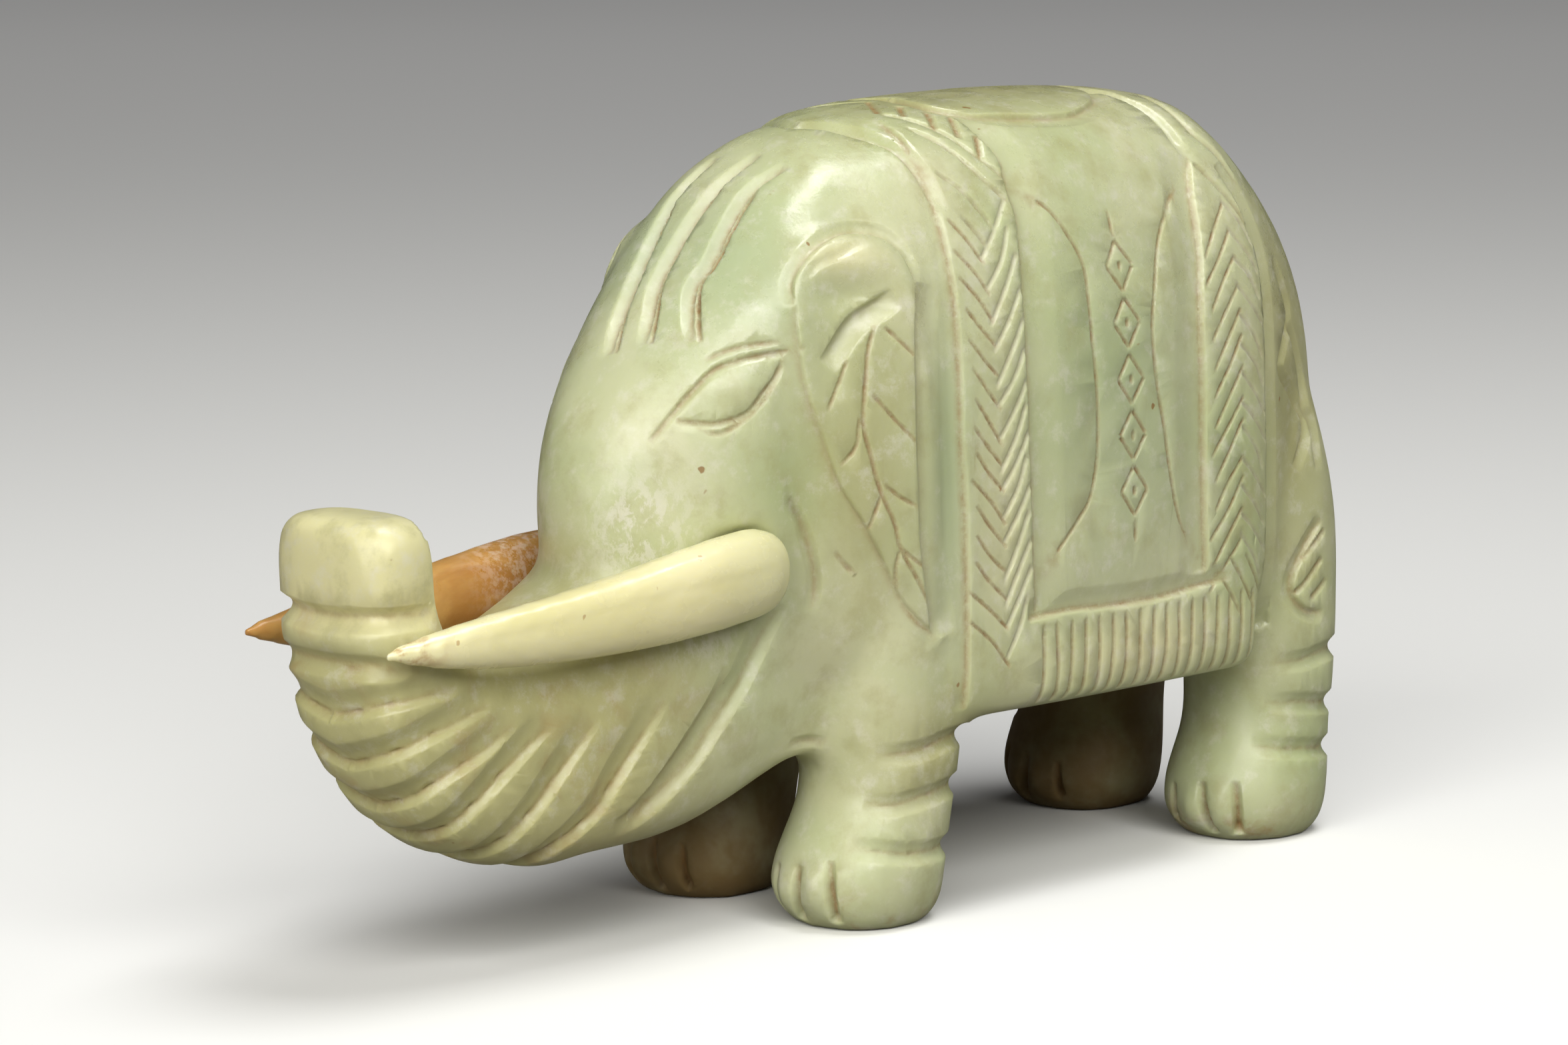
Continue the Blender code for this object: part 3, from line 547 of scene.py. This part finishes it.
tail = {
    "waves": [
        [(36.5, -11.5, 43.5), (38.3, -11.8, 39.5), (37, -12.5, 37.3), (36, -13, 35.5), (38.3, -12.3, 33.3),
         (40, -12.3, 31), (38.2, -12.5, 27.8)],
        [(38, -12, 39.3), (40, -11.5, 35), (40.3, -12, 32), (41, -12, 30.8), (41, -12.8, 27.5)],
    ],
    "tuft": [(41, -13, 23.8), (38.8, -13.3, 21.5), (37.8, -13, 19.8), (37.8, -13, 18.5), (39, -13.3, 17.3),
             (41, -13.3, 16.8)],
    "tuftLines": [
        [(37.8, -13, 18.5), (39, -13.3, 19.3), (41, -13.3, 21)],
        [(39.5, -13.3, 18), (40.8, -13.3, 18.8), (41.5, -13.3, 19.3)],
        [(38.6, -13.2, 21.0), (40.0, -13.2, 22.0), (41.4, -13.1, 23.0)],
    ],
}


def carveTail(stone):
    for path in tail["waves"]:
        stone.cut(path, width=(0.9, 0.4), depth=0.35, dirt=0.2, fade=(2, 2), both=False, crisp=1.2)
    stone.cut(tail["tuft"], width=(0.3, 0.9), depth=0.4, fade=(1, 1), both=False, crisp=1.2)
    for path in tail["tuftLines"]:
        stone.cut(path, width=0.3, depth=0.22, dirt=0.6, fade=(0.5, 0.5), both=False)


legs = {
    "frontRings": [
        [(-5.5, -11, 12.3), (-4, -12.3, 12.3), (-1.8, -12.8, 12.5), (0.2, -12.8, 12.8), (2.8, -11.6, 12.8),
         (4.3, -7.8, 12.7), (3.6, -4.5, 12.6)],
        [(-6, -10.5, 9), (-4.8, -11.8, 8.8), (-2.8, -12.5, 9), (0.5, -12.5, 9.3), (2.8, -11.4, 9.3),
         (4.2, -7.8, 9.2), (3.6, -4.2, 9.1)],
        [(-7.5, -10.3, 6), (-5.5, -12.2, 5.7), (-3.5, -12.9, 5.4), (-0.3, -12.6, 5.2), (1.9, -11, 5.2),
         (3.0, -7.5, 5.2), (2.4, -4.0, 5.2)],
    ],
    "hindRings": [
        [(36.5, -12.5, 13.5), (38.8, -13.3, 13.5), (41.3, -13.3, 13.8), (44, -12, 13.9), (45.6, -8.3, 13.8),
         (44.6, -4.6, 13.6)],
        [(36, -11.8, 10.5), (38.8, -13.3, 10.3), (42.3, -12.9, 9.8), (44.6, -11.5, 9.7), (45.6, -8.3, 9.7),
         (44.4, -4.6, 9.7)],
        [(35, -11.5, 7.3), (37.8, -13.3, 7), (41.8, -13, 6.5), (44, -11.4, 6.4), (45.2, -8.2, 6.4),
         (44, -4.8, 6.4)],
    ],
    "ringDepth": 0.5,
    "frontToes": [
        [(-8.7, -4.6, 4.4), (-8.9, -4.4, 2.4), (-8.2, -4.3, 0.4)],
        [(-9.0, -7.1, 4.6), (-9.2, -7, 2.5), (-8.5, -6.8, 0.4)],
        [(-8.6, -9.6, 5.2), (-8.8, -9.9, 3.0), (-8.2, -9.9, 0.6)],
    ],
    "hindToes": [
        [(32.7, -5.6, 4.2), (32.5, -5.5, 2.4), (33.1, -5.4, 0.4)],
        [(32.7, -8.6, 4.6), (32.6, -8.9, 2.4), (33.4, -9.3, 0.5)],
        [(33.4, -11.3, 4.8), (33.6, -11.4, 2.6), (34.2, -11.1, 0.6)],
    ],
    "toeInset": 1.4,
    "toeRadii": (1.5, 0.9, 1.6),
    "toeHeight": 0.3,
    "armpit": [(-10.3, -7.5, 13.3), (-8.8, -7.5, 13.3), (-7, -7.8, 13)],
}


def carveLegs(stone):
    for rings in ("frontRings", "hindRings"):
        for path in legs[rings]:
            stone.cut(path, width=0.9, depth=legs["ringDepth"], dirt=0.0, fade=(4, 2), crisp=1.2)
            stone.cut(path, width=0.25, depth=legs["ringDepth"] * 1.05, dirt=0.4, fade=(4, 2))
    for toes in ("frontToes", "hindToes"):
        for path in legs[toes]:
            stone.cut(path, width=0.5, depth=0.65, dirt=0.9, fade=(2.2, 0.1), crisp=1.3)
            x, y, z = path[1]
            stone.swell((x, y + legs["toeInset"], z), legs["toeRadii"], legs["toeHeight"])
    stone.cut(legs["armpit"], width=0.5, depth=0.25, dirt=0.4)


stoneGrain = {"voxel": 0.65, "softening": 5, "levels": 2, "triangles": 194000}


def buildElephant():
    grain = dict(stoneGrain)
    piece = refinedCopy("jadeElephant", "carved_elephant", grain)
    piece["cadNode"] = "carved_elephant"
    stone = Carver(piece)
    print("stone refined:", len(stone.points), "vertices")
    carveHead(stone)
    carveEars(stone)
    carveTrunk(stone)
    carveCloth(stone)
    carveTail(stone)
    carveLegs(stone)
    print("stone carved")
    stone.finish(grain["triangles"])
    print("stone finished:", len(piece.data.polygons), "faces")
    return piece


tuskLook = {
    "grain": {"voxel": 0.42, "softening": 4, "levels": 1, "triangles": 0},
    "ridgeHeight": 0.16,
    # the ridge: how far from the butt, how far in from the outer side, how far below the top
    "ridge": [(2.5, 1.2, 1.3), (12, 1.6, 2.1), (22, 2.9, 3.2)],
    "ridgeTip": (3, 4.1, 3.9),  # its last point, measured from the tip
}


def buildTusk(name, node):
    piece = refinedCopy(name, node, tuskLook["grain"])
    piece["cadNode"] = node
    stone = Carver(piece)
    low, high = (np.array(corner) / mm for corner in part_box(node))
    side = 1 if high[1] + low[1] > 0 else -1
    outer = high[1] if side > 0 else -low[1]
    ridge = [(high[0] - back, outer - inset, high[2] - drop) for back, inset, drop in tuskLook["ridge"]]
    ahead, inset, drop = tuskLook["ridgeTip"]
    ridge.append((low[0] + ahead, outer - inset, high[2] - drop))
    stone.cut([(x, y * side, z) for x, y, z in ridge], width=1.3, depth=-tuskLook["ridgeHeight"],
              dirt=0.0, fade=(4, 6), both=False)
    stone.finish(tuskLook["grain"]["triangles"])
    return piece


elephant = buildElephant()
leftTusk = buildTusk("leftTusk", "left_tusk")
rightTusk = buildTusk("rightTusk", "right_tusk")
for piece, node, slot in ((elephant, "carved_elephant", "celadon_jade"),
                          (leftTusk, "left_tusk", "pale_yellow_jade"),
                          (rightTusk, "right_tusk", "russet_jade")):
    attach(piece, "root")
    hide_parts(node)
print("tusks built")


class NodeTree:
    def __init__(self, name):
        self.material = bpy.data.materials.new(name)
        self.material.use_nodes = True
        self.nodes = self.material.node_tree.nodes
        self.links = self.material.node_tree.links
        self.shader = self.nodes["Principled BSDF"]
        self.place = self.add("ShaderNodeTexCoord").outputs["Object"]
        self.axes = self.add("ShaderNodeSeparateXYZ")
        self.feed(self.axes.inputs[0], self.place)

    def add(self, kind, **settings):
        node = self.nodes.new(kind)
        for name, value in settings.items():
            setattr(node, name, value)
        return node

    def feed(self, socket, value):
        if isinstance(value, bpy.types.NodeSocket):
            self.links.new(value, socket)
        elif value is not None:
            socket.default_value = value

    def noise(self, scale, detail, roughness, distortion=0.0, place=None):
        node = self.add("ShaderNodeTexNoise")
        self.feed(node.inputs["Vector"], place or self.place)
        node.inputs["Scale"].default_value = scale
        node.inputs["Detail"].default_value = detail
        node.inputs["Roughness"].default_value = roughness
        node.inputs["Distortion"].default_value = distortion
        return node.outputs["Fac"]

    def stretched(self, scale, turn=(0, 0, 0)):
        node = self.add("ShaderNodeMapping")
        self.feed(node.inputs["Vector"], self.place)
        node.inputs["Scale"].default_value = scale
        node.inputs["Rotation"].default_value = turn
        return node.outputs["Vector"]

    def ramp(self, value, low, high, least=0.0, most=1.0):
        node = self.add("ShaderNodeMapRange", interpolation_type="SMOOTHSTEP")
        self.feed(node.inputs["Value"], value)
        node.inputs["From Min"].default_value = low
        node.inputs["From Max"].default_value = high
        node.inputs["To Min"].default_value = least
        node.inputs["To Max"].default_value = most
        return node.outputs["Result"]

    def maths(self, operation, first, second):
        node = self.add("ShaderNodeMath", operation=operation, use_clamp=True)
        self.feed(node.inputs[0], first)
        self.feed(node.inputs[1], second)
        return node.outputs["Value"]

    def times(self, first, second):
        return self.maths("MULTIPLY", first, second)

    def mix(self, factor, first, second):
        node = self.add("ShaderNodeMix", data_type="RGBA")
        self.feed(node.inputs[0], factor)
        self.feed(node.inputs[6], (*first, 1.0) if isinstance(first, tuple) else first)
        self.feed(node.inputs[7], (*second, 1.0) if isinstance(second, tuple) else second)
        return node.outputs[2]

    # Blends a colour towards another one, where the mask says and by no more than the share
    def tint(self, colour, other, mask, share):
        return self.mix(self.times(mask, share), colour, other)

    # Noise turned into patches, which start at low and are full at high
    def patches(self, noise, low, high, least=0.0, most=1.0, place=None):
        return self.ramp(self.noise(*noise, place=place), low, high, least, most)

    # A soft-edged part of the stone: for each axis, where it starts and where it is full
    def zone(self, **limits):
        result = None
        for axis, (start, full) in limits.items():
            side = self.ramp(self.axes.outputs[axis], start * mm, full * mm)
            result = self.times(result, side) if result else side
        return result

    def attribute(self, name):
        return self.add("ShaderNodeAttribute", attribute_name=name).outputs["Fac"]

    def bump(self, height, distance, normal=None):
        node = self.add("ShaderNodeBump")
        node.inputs["Strength"].default_value = 1.0
        node.inputs["Distance"].default_value = distance * mm
        self.feed(node.inputs["Height"], height)
        self.feed(node.inputs["Normal"], normal)
        return node.outputs["Normal"]

    def unevenness(self, layers):
        normal = None
        for noise, distance in layers:
            normal = self.bump(self.noise(*noise), distance, normal)
        return normal

    def polish(self, look):
        finer, rougher = look["polishSpread"]
        return self.patches(look["polishNoise"], 0.3, 0.7, look["polish"] - finer, look["polish"] + rougher)

    def stone(self, colour, roughness, normal, look):
        self.feed(self.shader.inputs["Base Color"], colour)
        self.feed(self.shader.inputs["Roughness"], roughness)
        self.feed(self.shader.inputs["Normal"], normal)
        self.shader.inputs["IOR"].default_value = look["refraction"]
        self.shader.inputs["Subsurface Weight"].default_value = look["glow"]
        self.shader.inputs["Subsurface Radius"].default_value = look["glowColour"]
        self.shader.inputs["Subsurface Scale"].default_value = look["glowDepth"] * mm
        return self.material


# In the three dictionaries below, a noise is its scale, detail, roughness and distortion. After it
# come the values where its patches start and are full, then the least and the most they give.
# Zones, bumps and glowDepth are in millimetres.
celadon = {
    "pale": (0.62, 0.62, 0.40),
    "green": (0.45, 0.51, 0.26),
    "coolAndShade": (0.38, 0.45, 0.26),
    "honey": (0.39, 0.37, 0.165),
    "milk": (0.66, 0.62, 0.37),
    "yellow": (0.50, 0.46, 0.21),
    "tip": (0.74, 0.69, 0.38),
    "russet": (0.40, 0.26, 0.10),
    # the far legs' deep brown: partly the stone's russet skin, partly painted shade
    "russetSkinAndShade": (0.19, 0.115, 0.032),
    "grime": (0.29, 0.155, 0.045),
    "chalk": (0.72, 0.70, 0.60),
    "clouds": ((60, 2, 0.45, 0.3), 0.25, 0.8),
    "veins": ((230, 3, 0.5, 0.6), 0.4, 0.75),
    "stain": ((260, 4, 0.6, 0.5), 0.5, 0.72),
    "flecks": ((520, 6, 0.72), 0.50, 0.70),
    "spots": ((330, 5, 0.65), 0.46, 0.72),
    "skinAndShadePatches": ((170, 4, 0.6), 0.3, 0.55, 0.7, 0.95),
    "rubs": ((1100, 6, 0.75, 0.4), 0.46, 0.57),
    "crumbs": ((1500, 5, 0.7), 0.30, 0.62, 0.35, 1.0),
    "specks": ((620, 2, 0.5), 0.755, 0.785),
    "snoutZone": {"X": (-13, -27), "Z": (30, 22)},
    "tipZone": {"X": (-37, -40), "Z": (23.5, 26)},
    # the far legs, where the brown with painted shade goes
    "farLegShadeZone": {"Y": (-0.5, 1), "Z": (19, 14.5), "X": (-12, -10)},
    "soleZone": {"Z": (4.5, 0)},
    "waxyZone": {"Z": (42, 37)},
    "polish": 0.24,
    "polishNoise": (300, 5, 0.65),
    "polishSpread": (0.06, 0.14),
    "waxiness": 0.13,
    "bumps": [((130, 2, 0.5), 0.25), ((1700, 4, 0.6), 0.018)],
    "refraction": 1.61,
    "glow": 0.4,
    "glowColour": (1.0, 1.05, 0.55),
    "glowDepth": 0.6,
}


def celadonMaterial():
    look = celadon
    tree = NodeTree("celadonJade")
    coolAndShade, matt = tree.attribute("coolAndShade"), tree.attribute("matt")
    snout, tip = tree.zone(**look["snoutZone"]), tree.zone(**look["tipZone"])
    shadedFarLegs, soles = tree.zone(**look["farLegShadeZone"]), tree.zone(**look["soleZone"])
    colour = tree.mix(tree.patches(*look["clouds"]), look["pale"], look["green"])
    colour = tree.tint(colour, look["green"], tree.patches(*look["veins"]), share=0.3)
    # Cool green: the stone's own on the neck band and cloth panel, and painted shade that darkens the brow
    # and temple.
    colour = tree.tint(colour, look["coolAndShade"], coolAndShade, share=0.8)
    # Honey tone: the stone's own on the back, rump and ear flaps, and painted shade on the top of the front
    # legs.
    colour = tree.tint(colour, look["honey"], tree.attribute("warmAndShade"), share=0.9)
    colour = tree.tint(colour, look["milk"], tree.attribute("pale"), share=0.85)
    colour = tree.tint(colour, look["yellow"], snout, share=0.8)
    colour = tree.tint(colour, look["tip"], tip, share=0.85)
    stained = tree.maths("ADD", tree.times(snout, 0.45), soles)
    colour = tree.mix(tree.times(tree.patches(*look["stain"]), stained), colour, look["russet"])
    colour = tree.tint(colour, look["chalk"], tree.patches(*look["flecks"]), share=0.4)
    spotted = tree.maths("SUBTRACT", 0.45, tree.times(coolAndShade, 0.3))
    colour = tree.mix(tree.times(tree.patches(*look["spots"]), spotted), colour, look["honey"])
    # Painted shade: the far legs turn a deep brown, partly the stone's russet skin and partly the shade
    # under the body painted into the colour.
    colour = tree.mix(tree.times(shadedFarLegs, tree.patches(*look["skinAndShadePatches"])), colour, look["russetSkinAndShade"])
    strokes = tree.stretched((1, 1, 0.6), (0, 0.5, 0))
    rubbed = tree.times(tree.attribute("worn"), tree.patches(*look["rubs"], place=strokes))
    colour = tree.tint(colour, look["chalk"], rubbed, share=0.95)
    colour = tree.tint(colour, look["chalk"], matt, share=0.22)
    grime = tree.times(tree.attribute("dirt"), tree.patches(*look["crumbs"]))
    colour = tree.mix(grime, colour, look["grime"])
    colour = tree.tint(colour, look["grime"], tree.patches(*look["specks"]), share=0.85)
    roughness = tree.polish(look)
    for mask, rougher in ((tree.zone(**look["waxyZone"]), look["waxiness"]), (grime, 0.4), (rubbed, 0.35),
                          (matt, 0.35), (shadedFarLegs, 0.3)):
        roughness = tree.maths("ADD", roughness, tree.times(mask, rougher))
    normal = tree.unevenness(look["bumps"])
    normal = tree.bump(tree.maths("SUBTRACT", 1.0, grime), 0.05, normal)
    return tree.stone(colour, roughness, normal, look)


paleTusk = {
    "main": (0.82, 0.77, 0.47),
    "deep": (0.74, 0.69, 0.37),
    "green": (0.52, 0.55, 0.30),
    "russet": (0.45, 0.27, 0.10),
    "streaks": ((150, 4, 0.55, 0.5), 0.4, 0.68),
    "endStain": ((500, 4, 0.6), 0.42, 0.62),
    "specks": ((800, 2, 0.5), 0.74, 0.77),
    "rootZone": {"X": (-24, -14)},
    "endZone": {"X": (-41, -45.5)},
    "polish": 0.22,
    "polishNoise": (200, 4, 0.6),
    "polishSpread": (0.04, 0.08),
    "bumps": [((170, 2, 0.5), 0.12), ((1900, 4, 0.6), 0.008)],
    "refraction": 1.61,
    "glow": 0.6,
    "glowColour": (1.0, 0.95, 0.5),
    "glowDepth": 0.7,
}


def paleTuskMaterial():
    look = paleTusk
    tree = NodeTree("paleYellowJade")
    streaks = tree.patches(*look["streaks"], place=tree.stretched((0.35, 1, 1)))
    colour = tree.mix(streaks, look["main"], look["deep"])
    colour = tree.tint(colour, look["green"], tree.zone(**look["rootZone"]), share=0.35)
    end = tree.times(tree.zone(**look["endZone"]), tree.patches(*look["endStain"]))
    colour = tree.mix(end, colour, look["russet"])
    colour = tree.tint(colour, look["russet"], tree.patches(*look["specks"]), share=0.6)
    return tree.stone(colour, tree.polish(look), tree.unevenness(look["bumps"]), look)


russetTusk = {
    "main": (0.62, 0.36, 0.11),
    "deep": (0.44, 0.21, 0.05),
    "chalk": (0.66, 0.50, 0.38),
    "streaks": ((220, 5, 0.6, 0.6), 0.38, 0.66),
    "crumbs": ((1300, 6, 0.75), 0.44, 0.58),
    "rootZone": {"X": (-28, -21)},
    "polish": 0.30,
    "polishNoise": (300, 4, 0.6),
    "polishSpread": (0.05, 0.1),
    "bumps": [((1500, 5, 0.6), 0.02)],
    "refraction": 1.61,
    "glow": 0.5,
    "glowColour": (1.0, 0.6, 0.25),
    "glowDepth": 0.6,
}


def russetTuskMaterial():
    look = russetTusk
    tree = NodeTree("russetJade")
    streaks = tree.patches(*look["streaks"], place=tree.stretched((0.4, 1, 1)))
    colour = tree.mix(streaks, look["main"], look["deep"])
    deposit = tree.times(tree.zone(**look["rootZone"]), tree.patches(*look["crumbs"]))
    colour = tree.tint(colour, look["chalk"], deposit, share=0.7)
    roughness = tree.maths("ADD", tree.polish(look), tree.times(deposit, 0.4))
    return tree.stone(colour, roughness, tree.unevenness(look["bumps"]), look)


for piece, material in ((elephant, celadonMaterial()), (leftTusk, paleTuskMaterial()),
                        (rightTusk, russetTuskMaterial())):
    piece.data.materials.clear()
    piece.data.materials.append(material)
print("materials made")


studio = {
    "sensor": 36,
    "lens": 126.3,
    "clip": (0.01, 20),
    "cameraAt": (-0.2781, -0.2629, 0.0853),
    "lookAt": (-0.003, 0.0, 0.02705),
    "floorReach": 4,
    "floorWhite": (0.97, 0.97, 0.945),
    "floorBounce": (0.25, 0.24, 0.21),  # how much of the light the floor throws back up
    "floorRoughness": 0.9,
    "floorShine": 0.1,
    "haze": (1.0, 0.99, 0.98),
    "hazeStrength": 0.165,  # the far floor's own light, seen by the camera only
    "hazeTurn": -43.7,  # degrees, so that it deepens away from the camera
    "hazeSpan": (0.1, 1.0),
    "sky": (0.86, 0.87, 0.88),
    "skyStrength": 0.03,
    # each light: its place, what it points at, its two sizes, its watts and its colour
    "lights": {
        "overheadSoftbox": ((0.08, -0.12, 0.60), (0, 0, 0.02), (0.3, 0.22), 1.7, (1, 1, 1)),
        "keySoftbox": ((-0.56, -0.25, 0.40), (0, 0, 0.03), (0.5, 0.4), 2.7, (1.0, 0.99, 0.965)),
        "frontFill": ((-0.22, -0.60, 0.48), (0, 0, 0.03), (0.5, 0.4), 3.2, (1.0, 0.99, 0.97)),
        "lowFill": ((-0.74, -0.14, 0.16), (-0.02, 0, 0.025), (0.35, 0.25), 1.2, (1.0, 0.98, 0.94)),
    },
}


def buildCamera():
    data = bpy.data.cameras.new("camera")
    data.sensor_width = studio["sensor"]
    data.lens = studio["lens"]
    data.clip_start, data.clip_end = studio["clip"]
    camera = bpy.data.objects.new("camera", data)
    camera.location = studio["cameraAt"]
    away = Vector(studio["cameraAt"]) - Vector(studio["lookAt"])
    camera.rotation_euler = away.to_track_quat("Z", "Y").to_euler()
    bpy.context.scene.collection.objects.link(camera)
    bpy.context.scene.camera = camera


def buildFloor():
    mesh = bpy.data.meshes.new("floor")
    bm = bmesh.new()
    bmesh.ops.create_grid(bm, x_segments=1, y_segments=1, size=studio["floorReach"])
    bm.to_mesh(mesh)
    bm.free()
    floor = bpy.data.objects.new("floor", mesh)
    bpy.context.scene.collection.objects.link(floor)
    tree = NodeTree("paper")
    tree.feed(tree.axes.inputs[0], tree.stretched((1, 1, 1), (0, 0, math.radians(studio["hazeTurn"]))))
    direct = tree.add("ShaderNodeLightPath").outputs["Is Camera Ray"]
    shade = tree.mix(direct, studio["floorBounce"], studio["floorWhite"])
    tree.feed(tree.shader.inputs["Base Color"], shade)
    haze = tree.ramp(tree.axes.outputs["X"], *studio["hazeSpan"], 0.0, studio["hazeStrength"])
    tree.shader.inputs["Emission Color"].default_value = (*studio["haze"], 1)
    tree.feed(tree.shader.inputs["Emission Strength"], tree.times(haze, direct))
    tree.shader.inputs["Roughness"].default_value = studio["floorRoughness"]
    tree.shader.inputs["Specular IOR Level"].default_value = studio["floorShine"]
    mesh.materials.append(tree.material)


def addLight(name, place, target, size, power, colour):
    data = bpy.data.lights.new(name, "AREA")
    data.shape = "RECTANGLE"
    data.size, data.size_y = size
    data.energy = power
    data.color = colour
    light = bpy.data.objects.new(name, data)
    light.location = place
    light.rotation_euler = (Vector(place) - Vector(target)).to_track_quat("Z", "Y").to_euler()
    bpy.context.scene.collection.objects.link(light)


def buildLights():
    for name, settings in studio["lights"].items():
        addLight(name, *settings)
    world = bpy.data.worlds.new("studioSky")
    world.use_nodes = True
    background = world.node_tree.nodes["Background"]
    background.inputs["Color"].default_value = (*studio["sky"], 1)
    background.inputs["Strength"].default_value = studio["skyStrength"]
    bpy.context.scene.world = world
    bpy.context.scene.view_settings.view_transform = "Standard"


buildCamera()
buildFloor()
buildLights()
print("studio set")
